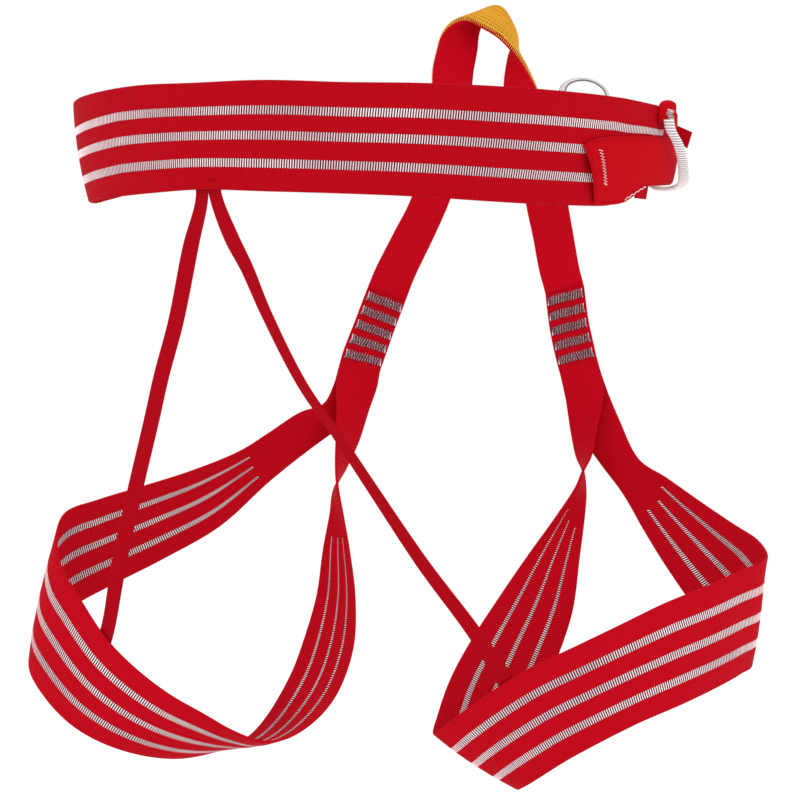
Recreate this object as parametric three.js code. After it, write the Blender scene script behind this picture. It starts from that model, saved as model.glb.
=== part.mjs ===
// Ultralight webbing sit harness, worn upright and seen with the wearer's back towards -Y.
// Millimetres, +Z up, +X to the wearer's right, +Y to the wearer's front.
// The origin is the centre of the waist ring at the middle of the belt's height.
import * as THREE from 'three';
import { mergeVertices } from 'three/addons/utils/BufferGeometryUtils.js';

// ---------------------------------------------------------------- driving dimensions
const waist = {
  halfWidth: 140.5, // half of the ring's X size at the belt's top edge
  halfDepth: 105, // half of the ring's Y size at the belt's top edge
  topHeight: 24,
  coneInset: 5, // how much smaller the ring is at the belt's lower edge
  leftConeInset: 3, // how much more it leans in at the wearer's left hip
  crown: 1.5, // how far the middle of the belt bulges
  thickness: 2.2,
};
const gap = 0.35; // clearance between pieces that touch
const degreesPerStep = 5;
const frontWebbing = { low: -3, high: 17, thickness: 1.4, lift: 2.35 };
const strapThickness = 1.4;
const bandThickness = 1.3;
const riser = { width: 7, thickness: 1 };
const tack = { first: 3.6, pitch: 7.6, length: 4.4, thickness: 0.8, reach: 0.93 };
const legHingeHeight = -5;
const tieInHingeHeight = 17.6;
const sideTape = { width: 4.8, thickness: 2 };
const buckle = { angle: 197.5, lift: 5.1, length: 28, thickness: 2.6, rail: 3.4, clear: 0.8 };

// Belt outline: [angle from the centre back in degrees, top height, bottom height].
// Negative angles are on the wearer's left.
const beltEdges = [
  [-150, 18.5, -5],
  [-125, 21.5, -11],
  [-110, 23, -17],
  [-95, 24.3, -21],
  [-65, 25.4, -22.2],
  [-48, 26, -21.9],
  [-34, 25.2, -21.5],
  [-20, 25.1, -23.1],
  [-5, 23.5, -24.5],
  [8, 23.2, -25.7],
  [22, 22.6, -27.3],
  [33, 22, -27.9],
  [48, 21.2, -27.5],
  [53, 20.9, -25],
  [57, 20.5, -20.6],
  [62, 20.1, -17.2],
  [70, 19.8, -15.6],
  [90, 19.5, -13],
  [135, 18, -8],
];

// ---------------------------------------------------------------- materials
const fabric = (color, roughness = 0.85) =>
  new THREE.MeshStandardMaterial({ color, roughness, metalness: 0 });
const redWebbing = fabric(0xc10d21);
const redFlap = fabric(0xc5081c, 0.8);
const redElastic = fabric(0xb81225, 0.75);
const yellowLining = fabric(0xdba42f);
const greyThread = fabric(0x9a8a90);
const paleThread = fabric(0xeed9da);
const whiteLoop = fabric(0xefe2e6, 0.6);
const aluminium = new THREE.MeshStandardMaterial({ color: 0xb9bcc0, roughness: 0.35, metalness: 1 });

// ---------------------------------------------------------------- helpers
const harness = new THREE.Group();
const point = (values) => new THREE.Vector3(...values);
const radians = THREE.MathUtils.degToRad;

function add(name, geometry, material) {
  const mesh = new THREE.Mesh(geometry, material);
  mesh.name = name;
  harness.add(mesh);
  return mesh;
}

// Turns every face round if the solid came out inside out.
function facingOut(geometry) {
  const position = geometry.getAttribute('position');
  const index = geometry.getIndex().array;
  const corner = (i) => new THREE.Vector3().fromBufferAttribute(position, index[i]);
  let volume = 0;
  for (let i = 0; i < index.length; i += 3) {
    volume += corner(i).dot(corner(i + 1).cross(corner(i + 2)));
  }
  if (volume < 0) {
    for (let i = 0; i < index.length; i += 3) {
      [index[i], index[i + 1]] = [index[i + 1], index[i]];
    }
  }
  return geometry;
}

function welded(geometry) {
  geometry.deleteAttribute('normal');
  geometry.deleteAttribute('uv');
  return facingOut(mergeVertices(geometry, 1e-4));
}

// A closed solid on a surface at(t, v, lift): t runs along it, v across it, and lift stands off it.
// low and high are the lifts of its two faces, as numbers or as functions of (t, v).
function slab(at, { t, v, low, high, steps, lanes = 1 }) {
  const valueOf = (lift, a, b) => (typeof lift === 'function' ? lift(a, b) : lift);
  const geometry = new THREE.BoxGeometry(1, 1, 1, steps, 1, lanes);
  const position = geometry.getAttribute('position');
  for (let i = 0; i < position.count; i += 1) {
    const a = THREE.MathUtils.lerp(t[0], t[1], position.getX(i) + 0.5);
    const b = THREE.MathUtils.lerp(v[0], v[1], position.getZ(i) + 0.5);
    const lift = position.getY(i) > 0 ? valueOf(high, a, b) : valueOf(low, a, b);
    const place = at(a, b, lift);
    position.setXYZ(i, place.x, place.y, place.z);
  }
  return welded(geometry);
}

// A strip of webbing through pairs of edge points, [upper, lower], one pair a station.
// t counts stations, v is +1 on the upper edge and -1 on the lower one.
// side is +1 or -1, so that a positive lift is outward.
function strip(stations, side = 1) {
  const last = stations.length - 1;
  const edge = (which) =>
    new THREE.CatmullRomCurve3(stations.map((pair) => point(pair[which])), false, 'centripetal');
  const [upper, lower] = [edge(0), edge(1)];
  const on = (t, v) => {
    const u = THREE.MathUtils.clamp(t / last, 0, 1);
    return lower.getPoint(u).lerp(upper.getPoint(u), (v + 1) / 2);
  };
  return (t, v, lift) => {
    const before = Math.max(t - 0.02, 0);
    const after = Math.min(t + 0.02, last);
    const along = on(after, v).sub(on(before, v));
    const across = on(t, 1).sub(on(t, -1));
    const normal = along.cross(across).normalize().multiplyScalar(side * lift);
    return on(t, v).add(normal);
  };
}

function ribbon(stations, thickness, { side = 1, lanes = 1, stepsPerStation = 2 } = {}) {
  const last = stations.length - 1;
  return slab(strip(stations, side), {
    t: [0, last],
    v: [-1, 1],
    low: -thickness / 2,
    high: thickness / 2,
    steps: last * stepsPerStation,
    lanes,
  });
}

// ---------------------------------------------------------------- the waist ring's surface
// Smooth curve through the belt outline's heights.
function beltHeight(angle, column) {
  const rows = beltEdges;
  let i = rows.findIndex((row) => row[0] > angle) - 1;
  if (i === -1) i = 0;
  if (i < 0) i = rows.length - 2;
  const slope = (k) => {
    const a = rows[Math.max(k - 1, 0)];
    const b = rows[Math.min(k + 1, rows.length - 1)];
    return (b[column] - a[column]) / (b[0] - a[0]);
  };
  const [start, end] = [rows[i], rows[i + 1]];
  const span = end[0] - start[0];
  const u = (angle - start[0]) / span;
  const bend = (u ** 3 - 2 * u ** 2 + u) * span * slope(i) + (u ** 3 - u ** 2) * span * slope(i + 1);
  const ease = 3 * u ** 2 - 2 * u ** 3;
  return start[column] + ease * (end[column] - start[column]) + bend;
}

// Point on the waist ring at an angle from the centre back and a height, lifted outward.
function onWaist(angle, height, lift) {
  const [s, c] = [Math.sin(radians(angle)), Math.cos(radians(angle))];
  const cone = waist.coneInset + waist.leftConeInset * ((1 - s) / 2) ** 8;
  const inset = (cone * (waist.topHeight - height)) / (2 * waist.topHeight);
  const bulge = waist.crown * (1 - (height / waist.topHeight) ** 2);
  const a = waist.halfWidth - inset;
  const b = waist.halfDepth - inset;
  const outward = new THREE.Vector3(s / a, -c / b, 0).normalize();
  return new THREE.Vector3(a * s, -b * c, height).addScaledVector(outward, bulge + lift);
}

const stepsFor = (from, to) => Math.round(Math.abs(to - from) / degreesPerStep);

// A flat piece sewn to the ring between two angles and two heights.
function waistPatch(angles, heights, lifts, lanes = 1) {
  return slab(onWaist, {
    t: angles,
    v: heights,
    low: lifts[0],
    high: lifts[1],
    steps: 2 * Math.ceil(Math.abs(angles[1] - angles[0]) / degreesPerStep),
    lanes,
  });
}

// Webbing that leaves the ring's surface: a path of [angle, lift] at a constant height range.
function waistWebbing(path, thickness) {
  const { low, high } = frontWebbing;
  const stations = path.map(([angle, lift]) => [
    onWaist(angle, high, lift).toArray(),
    onWaist(angle, low, lift).toArray(),
  ]);
  return ribbon(stations, thickness);
}

// Puts a piece on the front webbing: its x along the ring, its y up the webbing, its z outward.
function placeOnWebbing(mesh, angle, lift) {
  const top = onWaist(angle, frontWebbing.high, lift);
  const bottom = onWaist(angle, frontWebbing.low, lift);
  const up = top.clone().sub(bottom).normalize();
  const ahead = onWaist(angle + 0.5, 0, 0).sub(onWaist(angle - 0.5, 0, 0));
  const outward = new THREE.Vector3().crossVectors(ahead, up).normalize();
  const along = new THREE.Vector3().crossVectors(up, outward);
  mesh.quaternion.setFromRotationMatrix(new THREE.Matrix4().makeBasis(along, up, outward));
  mesh.position.copy(top.lerp(bottom, 0.5));
  return mesh;
}

// ---------------------------------------------------------------- waist belt and what is sewn to it
function makeBelt() {
  const surface = (angle, v, lift) => {
    const top = beltHeight(angle, 1);
    const bottom = beltHeight(angle, 2);
    return onWaist(angle, THREE.MathUtils.lerp(bottom, top, (v + 1) / 2), lift);
  };
  const ends = [beltEdges[0][0], beltEdges.at(-1)[0]];
  const half = waist.thickness / 2;
  const shape = { t: ends, v: [-1, 1], low: -half, high: half, steps: stepsFor(...ends), lanes: 4 };
  add('waist_belt', slab(surface, shape), redWebbing);
}

// Flat pocket over the belt's lower half at the right side, open at both ends.
const sleeve = { from: 43.3, to: 80, thickness: 0.9, bulge: 0.7, slant: 2.4, hem: 0.6 };

function onSleeve(angle, v, lift) {
  const mouth = (sleeve.to - angle) / (sleeve.to - sleeve.from);
  const bottom = beltHeight(angle, 2) + sleeve.hem;
  const top = 3.4 + 0.13 * (angle - 49) - 4 * Math.exp((sleeve.from - angle) / 3);
  const height = THREE.MathUtils.lerp(bottom, top, (v + 1) / 2);
  const standOff = waist.thickness / 2 + gap + sleeve.bulge * (1 - v * v);
  return onWaist(angle - sleeve.slant * v * mouth, height, standOff + lift);
}

function makeSleeve() {
  const shape = { t: [sleeve.from, sleeve.to], v: [-1, 1], low: 0, high: sleeve.thickness };
  add('clipper_sleeve', slab(onSleeve, { ...shape, steps: 14, lanes: 6 }), redFlap);
  const low = sleeve.thickness + gap;
  const stitch = { t: [46, 46.9], v: [-0.35, 0.65], low, high: low + 0.5 };
  add('sleeve_bartack', slab(onSleeve, { ...stitch, steps: 1, lanes: 4 }), paleThread);
}

// Folded fabric tabs that hold the side gear loop, and a short pointed belt end beside it.
function makeTabs() {
  const face = waist.thickness / 2 + gap;
  add('side_loop_tab_rear', waistPatch([64, 70.4], [11.2, 22], [face, 7.2], 2), redFlap);
  add('side_loop_tab_front', waistPatch([111, 119], [4, 15.5], [face, 6]), redFlap);
  add('rear_tab_bartack', waistPatch([65.2, 68.4], [13.5, 17.8], [7.2 + gap, 8.1]), paleThread);
  // a short tab behind the belt's lower corner
  add('sleeve_corner_tab', waistPatch([62, 67.2], [-22.4, -13], [-face - 1.4, -face - 0.2]), redFlap);

  const outline = new THREE.Shape([
    new THREE.Vector2(0, 3),
    new THREE.Vector2(0, -4),
    new THREE.Vector2(4.9, -7.8),
    new THREE.Vector2(7.2, -0.2),
  ]);
  const endTab = new THREE.ExtrudeGeometry(outline, { depth: 1.4, bevelEnabled: false });
  const mesh = add('belt_end_tab', welded(endTab), redFlap);
  mesh.rotation.x = Math.PI / 2;
  mesh.position.set(142.2, 6, 12.5);
}

// ---------------------------------------------------------------- front closure
function makeFrontWebbing() {
  const { lift, thickness } = frontWebbing;
  const returnLift = 2 * buckle.lift - lift;
  const flat = Array.from({ length: 16 }, (_, i) => [120 + degreesPerStep * i, lift]);
  const turn = [
    [198.2, lift],
    [199.3, lift + 1],
    [199.6, buckle.lift],
    [199.3, returnLift - 1],
    [198.2, returnLift],
  ];
  const tail = [
    [195, returnLift + 0.2],
    [191.5, returnLift + 0.5],
    [188.5, 7],
    [185, 5],
    [180, 4.45],
    [175, 4.4],
  ];
  add('front_webbing', waistWebbing([...flat, ...turn, ...tail], thickness), redWebbing);

  const sewnEnd = waistPatch([123.5, 125], [-1, 15], [lift + thickness / 2 + gap, 4.1]);
  add('webbing_bartack', sewnEnd, greyThread);

  const anchorPath = [
    [217.5, lift],
    [215, lift],
    [212.5, lift],
    [210, lift],
    [207, lift],
    [204.5, lift],
    [202.4, lift],
    [201.2, lift + 0.9],
    [200.9, buckle.lift],
    [201.2, returnLift - 0.6],
    [202.3, returnLift + 0.4],
    [204, returnLift + 0.5],
    [206.5, 7],
    [209, 4.9],
    [212.5, 4.3],
    [215, 4.25],
  ];
  add('buckle_anchor_loop', waistWebbing(anchorPath, thickness), redWebbing);
  add('anchor_bartack', waistPatch([212.5, 214], [-1, 15], [5.35, 6.1]), greyThread);
}

function roundedRectangle(path, width, height, radius) {
  const [x, y] = [width / 2, height / 2];
  path.moveTo(-x + radius, -y);
  path.lineTo(x - radius, -y);
  path.absarc(x - radius, -y + radius, radius, -Math.PI / 2, 0, false);
  path.lineTo(x, y - radius);
  path.absarc(x - radius, y - radius, radius, 0, Math.PI / 2, false);
  path.lineTo(-x + radius, y);
  path.absarc(-x + radius, y - radius, radius, Math.PI / 2, Math.PI, false);
  path.lineTo(-x, -y + radius);
  path.absarc(-x + radius, -y + radius, radius, Math.PI, 1.5 * Math.PI, false);
  return path;
}

function plate(width, height, radius, hole, depth) {
  const outline = roundedRectangle(new THREE.Shape(), width, height, radius);
  outline.holes.push(roundedRectangle(new THREE.Path(), hole.width, hole.height, hole.radius));
  const geometry = new THREE.ExtrudeGeometry(outline, { depth, bevelEnabled: false, curveSegments: 4 });
  return welded(geometry.translate(0, 0, -depth / 2));
}

function makeBuckle() {
  const webbingWidth = frontWebbing.high - frontWebbing.low;
  const hole = {
    width: buckle.length - 2 * buckle.rail,
    height: webbingWidth + 2 * buckle.clear,
    radius: 1.5,
  };
  const height = hole.height + 2 * buckle.rail;
  const frame = plate(buckle.length, height, 5, hole, buckle.thickness);
  placeOnWebbing(add('buckle_frame', frame, aluminium), buckle.angle, buckle.lift);

  const bar = new THREE.CapsuleGeometry(1.3, hole.height - 3.6, 4, 10);
  placeOnWebbing(add('buckle_slider', welded(bar), aluminium), 197.2, buckle.lift);

  const slot = { width: 5.2, height: webbingWidth + 1.2, radius: 0.5 };
  const keeper = plate(slot.width + 1.8, slot.height + 1.8, 1.2, slot, 8);
  const mesh = placeOnWebbing(add('webbing_keeper', keeper, redElastic), 179.5, 3.4);
  mesh.rotateY(Math.PI / 2);
}

// ---------------------------------------------------------------- tie-in loop
// Edge pairs from the left foot over the crown to the right foot: [near edge, far edge].
const tieInStations = [
  [[28, 107, 19.4], [48, 103, 19.4]],
  [[28, 107, 41], [48, 106, 41]],
  [[28, 106, 53], [49, 108, 53]],
  [[30, 105, 63], [51, 110, 64]],
  [[33, 103, 71], [52, 112, 73]],
  [[38, 101, 76], [55, 114, 81]],
  [[45, 99, 78], [59, 115, 86]],
  [[53, 96, 74], [63, 114, 86]],
  [[61, 94, 69], [67, 112, 80]],
  [[68, 92, 62], [70, 110, 70]],
  [[73, 91, 55], [67, 106, 61]],
  [[77, 90, 48], [65, 102, 53]],
  [[80, 89, 42], [64, 99, 45]],
  [[83, 88, 30], [64, 97, 30]],
  [[84, 87.5, 19.4], [64, 97, 19.4]],
];

function makeTieInLoop() {
  const thickness = 2.6;
  const lining = 0.9;
  const last = tieInStations.length - 1;
  const weave = { side: -1, lanes: 4, stepsPerStation: 4 };
  add('tie_in_loop', ribbon(tieInStations, thickness, weave), redWebbing);
  const cover = slab(strip(tieInStations, -1), {
    t: [0.5, last - 0.5],
    v: [-0.97, 0.97],
    low: thickness / 2 + gap,
    high: thickness / 2 + gap + lining,
    steps: weave.stepsPerStation * (last - 1),
    lanes: weave.lanes,
  });
  add('tie_in_lining', cover, yellowLining);

  const inner = frontWebbing.lift + frontWebbing.thickness / 2 + gap;
  const foot = [inner, inner + 2.4];
  const stitch = [foot[1] + gap, foot[1] + gap + tack.thickness];
  const feet = { left: [160, 168.6], right: [143, 152.8] };
  for (const [name, angles] of Object.entries(feet)) {
    const inside = [angles[0] + 0.8, angles[1] - 0.8];
    add(`tie_in_foot_${name}`, waistPatch(angles, [-2, 16.2], foot), redWebbing);
    add(`tie_in_bartack_${name}`, waistPatch(inside, [1, 5], stitch), greyThread);
  }
}

// ---------------------------------------------------------------- gear loops
function makeGearLoops() {
  const sideLoop = [
    [134.2, -46, 8.6],
    [137.6, -43, 3],
    [140.1, -37.5, -3],
    [141.6, -29.5, -8],
    [142.9, -18, -11.4],
    [143.5, -5, -12.9],
    [142.3, 9, -13.4],
    [138.2, 24, -13],
    [134.7, 36, -11],
    [131.2, 43, -5.5],
    [129.8, 46, 1],
  ];
  const half = sideTape.width / 2;
  const tape = sideLoop.map(([x, y, z]) => [
    [x - half, y, z],
    [x + half, y, z],
  ]);
  const tapeShape = { side: -1, lanes: 2, stepsPerStation: 3 };
  add('side_gear_loop', ribbon(tape, sideTape.thickness, tapeShape), whiteLoop);

  const frontLoop = [
    [[90, 83, 18.7], [95, 80, 18.7]],
    [[90, 83, 32], [95, 80, 32]],
    [[91, 85, 42], [95, 81, 41]],
    [[95, 88, 46], [97, 82, 44]],
    [[101, 88, 47.5], [102, 82, 45.5]],
    [[107, 85, 46.5], [107, 79, 44.5]],
    [[112, 79, 43], [111, 74, 41.5]],
    [[115, 70, 37], [113, 66, 36.5]],
    [[116, 67, 28], [113.5, 63.5, 28]],
    [[116, 66, 18.7], [113.5, 62.5, 18.7]],
  ];
  add('front_gear_loop', ribbon(frontLoop, 1, { side: -1 }), whiteLoop);
  const inner = frontWebbing.lift + frontWebbing.thickness / 2 + gap;
  add('front_loop_tab', waistPatch([126, 139], [4, 17.5], [inner, inner + 1.6]), redFlap);
}

// ---------------------------------------------------------------- leg loops
// Leg webbing from below the belt's front to the sewn joint: [left edge, right edge].
const leftStrap = [
  [[20, 103, -6.3], [40, 102, -6.3]],
  [[17, 102, -12], [37, 101, -12.5]],
  [[8, 98.5, -30], [29, 98.5, -31]],
  [[-1, 94, -48], [19, 94, -52]],
  [[-5, 91, -58], [14, 91, -65]],
  [[-11, 88, -74], [8, 88, -81]],
  [[-17, 85.3, -90], [3, 85.3, -95]],
];
const rightStrap = [
  [[93.5, 78.5, -6.3], [73, 89, -6.3]],
  [[95, 79, -13], [74.5, 87.5, -14]],
  [[98, 78, -32], [78, 83, -33]],
  [[101, 77.5, -49], [81, 79.5, -50]],
  [[103, 77, -57], [84, 77, -62]],
  [[105, 74, -74], [86, 74, -79]],
  [[108, 71.3, -88], [89, 71.3, -93]],
];

// Leg band as one long strip: under the stitching, round the outside of the thigh, behind it,
// up the inside with a half twist, and back over the stitching. [upper rim, lower rim].
const leftBand = [
  [[-5, 93, -58], [14, 93, -65]],
  [[-11, 90, -74], [8, 90, -81]],
  [[-18, 87, -93], [2, 87, -98]],
  [[-22, 84, -107], [-4, 85, -112]],
  [[-27, 78, -116], [-13, 83, -124]],
  [[-38, 72, -120], [-23, 80, -131]],
  [[-53, 63, -130], [-38, 76, -142]],
  [[-67, 52, -139], [-54, 70, -155]],
  [[-89, 39, -148], [-77, 60, -176]],
  [[-111, 26, -155], [-105, 48, -192]],
  [[-131, 13, -161], [-127, 34, -203]],
  [[-146, 1, -167], [-145, 18, -213]],
  [[-148.5, -10, -179], [-159, 2, -227]],
  [[-145, -20, -191], [-161, -12, -239]],
  [[-136, -30, -204], [-153, -22, -251]],
  [[-122, -39, -223], [-140, -29, -263]],
  [[-108, -45, -236], [-126, -31, -271]],
  [[-93, -48, -247], [-109, -28, -277]],
  [[-78, -46, -256], [-91, -18, -280]],
  [[-64, -40, -265], [-74, -5, -278]],
  [[-50, -29, -271], [-61, 9, -274]],
  [[-35, -15, -268], [-52, 21, -265]],
  [[-20, 0, -255], [-41, 32, -246]],
  [[-11, 14, -233], [-35, 40, -230]],
  [[-10, 27, -210], [-29, 47, -209]],
  [[-13, 39, -187], [-26, 54, -187]],
  [[-16, 47, -172], [-23, 62, -171]],
  [[-19, 54, -157], [-21, 73, -158]],
  [[-20, 59, -146], [-15, 77, -147]],
  [[-20, 65, -133], [-9, 81, -134]],
  [[-20, 72, -118], [-4, 81, -119]],
  [[-20, 78.5, -105], [0, 80, -108]],
  [[-18, 83, -93], [2, 83, -98]],
  [[-11, 86, -74], [8, 86, -81]],
  [[-5, 89, -58], [14, 89, -65]],
];
const rightBand = [
  [[103, 79, -57], [84, 79, -62]],
  [[105, 76, -74], [86, 76, -79]],
  [[108, 73, -89], [89, 73, -94]],
  [[113, 70, -106], [94, 71, -112]],
  [[120, 66, -124], [100, 68, -130]],
  [[129, 60, -143], [110, 65, -145]],
  [[142, 52, -152], [121, 61, -160]],
  [[157, 41, -163], [131, 55, -178]],
  [[171, 28, -173], [141, 47, -195]],
  [[181, 13, -180], [153, 37, -213]],
  [[184, 0, -186], [166, 24, -230]],
  [[180, -13, -189], [177, 6, -239]],
  [[167, -26, -193], [170, -10, -242]],
  [[151, -38, -199], [156, -27, -247]],
  [[131, -48, -206], [139, -41, -253]],
  [[111, -54, -215], [120, -49, -260]],
  [[90, -55, -225], [103, -52, -268]],
  [[70, -51, -235], [87, -50, -277]],
  [[52, -44, -247], [74, -45, -286]],
  [[37, -34, -259], [68, -36, -291]],
  [[27, -21, -268], [66, -22, -293]],
  [[29, -8, -261], [69, -6, -283]],
  [[35, 5, -246], [76, 9, -262]],
  [[45, 18, -229], [86, 24, -240]],
  [[59, 31, -209], [95, 37, -216]],
  [[75, 41, -187], [99, 47, -191]],
  [[88, 46, -170], [102, 56, -171]],
  [[97, 47, -157], [103, 64, -159]],
  [[101, 48, -148], [102, 68, -149]],
  [[105, 53, -141], [99, 70, -142]],
  [[108, 59, -128], [96, 69, -129]],
  [[112, 65, -110], [93, 67, -112]],
  [[108, 69, -89], [89, 69, -94]],
  [[105, 72, -74], [86, 72, -79]],
  [[103, 75, -57], [84, 75, -62]],
];

// Elastic risers: where each leaves the belt, its centre line below, and its station on the band.
const leftRiser = {
  angle: -34.7,
  path: [
    [-81, -77, -46],
    [-88, -71.5, -79],
    [-95, -64.5, -103],
    [-100, -58.5, -123],
    [-108, -50.5, -154],
    [-116, -42.5, -187],
  ],
  foot: 14.9,
  twist: 0,
};
const rightRiser = {
  angle: -31.5,
  path: [
    [-63, -80, -42],
    [-56, -79, -56],
    [-48, -76.5, -75],
    [-32, -70.5, -107],
    [-17, -66.5, -129],
    [0, -61.5, -155],
    [22, -56, -188],
    [45, -50.5, -219],
  ],
  foot: 17.6,
  twist: 54,
};

function makeLeg(name, strap, band, side) {
  // the strap's lift is towards the wearer's back
  add(`leg_strap_${name}`, ribbon(strap, strapThickness, { side: -side }), redWebbing);
  add(`leg_band_${name}`, ribbon(band, bandThickness, { side, lanes: 2 }), redWebbing);

  // five bartacks on the topmost layer, counted down from its upper end
  const surface = strip(band, side);
  const last = band.length - 1;
  const along = (t) => surface(t, 0, 0);
  const face = bandThickness / 2 + gap;
  for (let i = 0; i < 5; i += 1) {
    const middle = tack.first + tack.pitch * i;
    const ends = [middle - tack.length / 2, middle + tack.length / 2].map((distance) => {
      let t = last;
      let travelled = 0;
      while (travelled < distance) {
        travelled += along(t).distanceTo(along(t - 0.01));
        t -= 0.01;
      }
      return t;
    });
    const geometry = slab(surface, {
      t: ends,
      v: [-tack.reach, tack.reach],
      low: face,
      high: face + tack.thickness,
      steps: 2,
    });
    add(`leg_bartack_${name}_${i + 1}`, geometry, greyThread);
  }
}

function makeRiser(name, { angle, path, foot, twist }, band, side) {
  const half = riser.width / 2;
  const beltLift = -(waist.thickness / 2 + 2 * gap + riser.thickness / 2);
  const turn = half / 2.35; // degrees of the ring in half the riser's width
  const top = [-12, -24].map((height) => [
    onWaist(angle + turn, height, beltLift).toArray(),
    onWaist(angle - turn, height, beltLift).toArray(),
  ]);
  const middles = path.map(point);
  const free = middles.map((middle, i) => {
    const ahead = middles[Math.min(i + 1, middles.length - 1)];
    const behind = middles[Math.max(i - 1, 0)];
    const along = ahead.clone().sub(behind).normalize();
    const across = new THREE.Vector3(0, 1, 0).cross(along).setLength(-half);
    const bow = Math.sin((Math.PI * (i + 1)) / (middles.length + 1));
    across.applyAxisAngle(along, radians(twist * bow));
    return [middle.clone().add(across).toArray(), middle.clone().sub(across).toArray()];
  });
  const surface = strip(band, side);
  const bandLift = -(bandThickness / 2 + 2 * gap + riser.thickness / 2);
  const bottom = [1, 0.5].map((v) => [
    surface(foot + 0.18 * side, v, bandLift).toArray(),
    surface(foot - 0.18 * side, v, bandLift).toArray(),
  ]);
  add(`riser_${name}`, ribbon([...top, ...free, ...bottom], riser.thickness), redElastic);
}

// Upper ends of the leg webbing, sewn inside the front webbing.
function makeStrapAnchors() {
  const lifts = [frontWebbing.lift - frontWebbing.thickness / 2 - gap - strapThickness];
  lifts.push(lifts[0] + strapThickness);
  const heights = [legHingeHeight + 1.1, 15.5];
  add('strap_anchor_left', waistPatch([163, 171.8], heights, lifts), redWebbing);
  add('strap_anchor_right', waistPatch([137.3, 148], heights, lifts), redWebbing);
  const stitch = [lifts[0] - 2 * gap - tack.thickness, lifts[0] - 2 * gap];
  add('strap_bartack_left', waistPatch([164, 170.8], [5, 9], stitch), greyThread);
  add('strap_bartack_right', waistPatch([138.3, 147], [5, 9], stitch), greyThread);
}

makeBelt();
makeSleeve();
makeTabs();
makeFrontWebbing();
makeBuckle();
makeTieInLoop();
makeGearLoops();
makeStrapAnchors();
makeLeg('left', leftStrap, leftBand, 1);
makeLeg('right', rightStrap, rightBand, -1);
makeRiser('left', leftRiser, leftBand, 1);
makeRiser('right', rightRiser, rightBand, -1);

export default harness;
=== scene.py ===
"""Looks of an ultralight webbing sit harness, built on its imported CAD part.

Lengths are in millimetres until a mesh is made, and a mesh is in metres. +Z is up, +X is the
wearer's right, +Y is the wearer's front, and the origin is the centre of the waist ring.
"""
import math

import bpy
import numpy as np
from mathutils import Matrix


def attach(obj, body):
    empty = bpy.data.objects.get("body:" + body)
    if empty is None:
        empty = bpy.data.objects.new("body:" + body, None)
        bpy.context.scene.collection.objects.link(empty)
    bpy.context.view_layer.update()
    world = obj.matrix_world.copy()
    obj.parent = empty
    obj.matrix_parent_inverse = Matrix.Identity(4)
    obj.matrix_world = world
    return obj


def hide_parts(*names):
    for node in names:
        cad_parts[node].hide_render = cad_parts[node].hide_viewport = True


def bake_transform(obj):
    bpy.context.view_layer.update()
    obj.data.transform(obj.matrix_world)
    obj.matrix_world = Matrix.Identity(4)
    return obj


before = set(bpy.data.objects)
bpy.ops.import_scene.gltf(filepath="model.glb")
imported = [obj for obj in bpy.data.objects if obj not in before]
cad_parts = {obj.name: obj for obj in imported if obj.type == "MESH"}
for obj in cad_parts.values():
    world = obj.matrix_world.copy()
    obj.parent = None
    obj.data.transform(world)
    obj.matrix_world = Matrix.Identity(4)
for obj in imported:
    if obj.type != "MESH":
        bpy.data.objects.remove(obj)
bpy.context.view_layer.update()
MM = 0.001

# ------------------------------------------------------------------ dimensions shared with the CAD
WAIST_A = 140.5  # half width of the waist ring
WAIST_B = 105.0  # half depth of the waist ring
WAIST_TOP = 24.0
CONE_INSET = 5.0
LEFT_CONE_INSET = 3.0  # how much more the ring leans in at the wearer's left hip
WAIST_CROWN = 1.5
BELT_HALF = 1.1  # half the belt's thickness
GAP = 0.35
BAND_HALF = 0.65  # half the leg band's thickness
STRAP_HALF = 0.7  # half the leg strap's and front webbing's thickness
WEB_LOW = -3.0  # lower edge of the front webbing
WEB_HIGH = 17.0
WEB_LIFT = 2.35
BUCKLE_LIFT = 5.1
STRAP_WIDTH = 20
BAND_WIDTH = 40
BELT_WIDTH = 47
RISER_WIDTH = 7
RISER_HALF = 0.5  # half the riser's thickness
RING_MM_PER_DEGREE = 2.35  # along the waist ring, near the risers
# Angle from the centre back, top height, bottom height. Between 53 and 62 degrees the bottom hangs
# up to 1.6 mm lower than in the CAD.
BELT_EDGES = [
    (-150, 18.5, -5), (-125, 21.5, -11), (-110, 23, -17), (-95, 24.3, -21), (-65, 25.4, -22.2),
    (-48, 26, -21.9), (-34, 25.2, -21.5), (-20, 25.1, -23.1), (-5, 23.5, -24.5), (8, 23.2, -25.7),
    (22, 22.6, -27.3), (33, 22, -27.9), (48, 21.2, -27.5), (53, 20.9, -26), (57, 20.5, -22.2),
    (62, 20.1, -18), (70, 19.8, -15.6), (90, 19.5, -13), (135, 18, -8),
]

# ------------------------------------------------------------------ details that the CAD leaves out
RUNG_PITCH = 1.15  # from one rung of a ladder stripe to the next
RUNG_OFFSETS = [-0.27, -0.17, 0.17, 0.27]  # foot, shoulder, shoulder, foot of a rung's profile
RUNG_REACH = [-0.98, -0.86, 0.86, 0.98]  # the same across the stripe, as shares of its half width
RUNG_RISE = 0.13
RUNG_SLANT = 0.2  # how far a rung leans along the tape at its ends
RUNG_FOOT = 0.03  # how far a rung's foot stands off the tape
BELT_STRIPE_SHARE = 0.08  # half a belt stripe's width, as a share of half the belt's
CORD_RIB_PITCH = 1.4  # ribs of the white gear loop

# ------------------------------------------------------------------ curves and surfaces
TANGENT_STEP = 0.02  # stations either way, for a strip's direction


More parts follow.
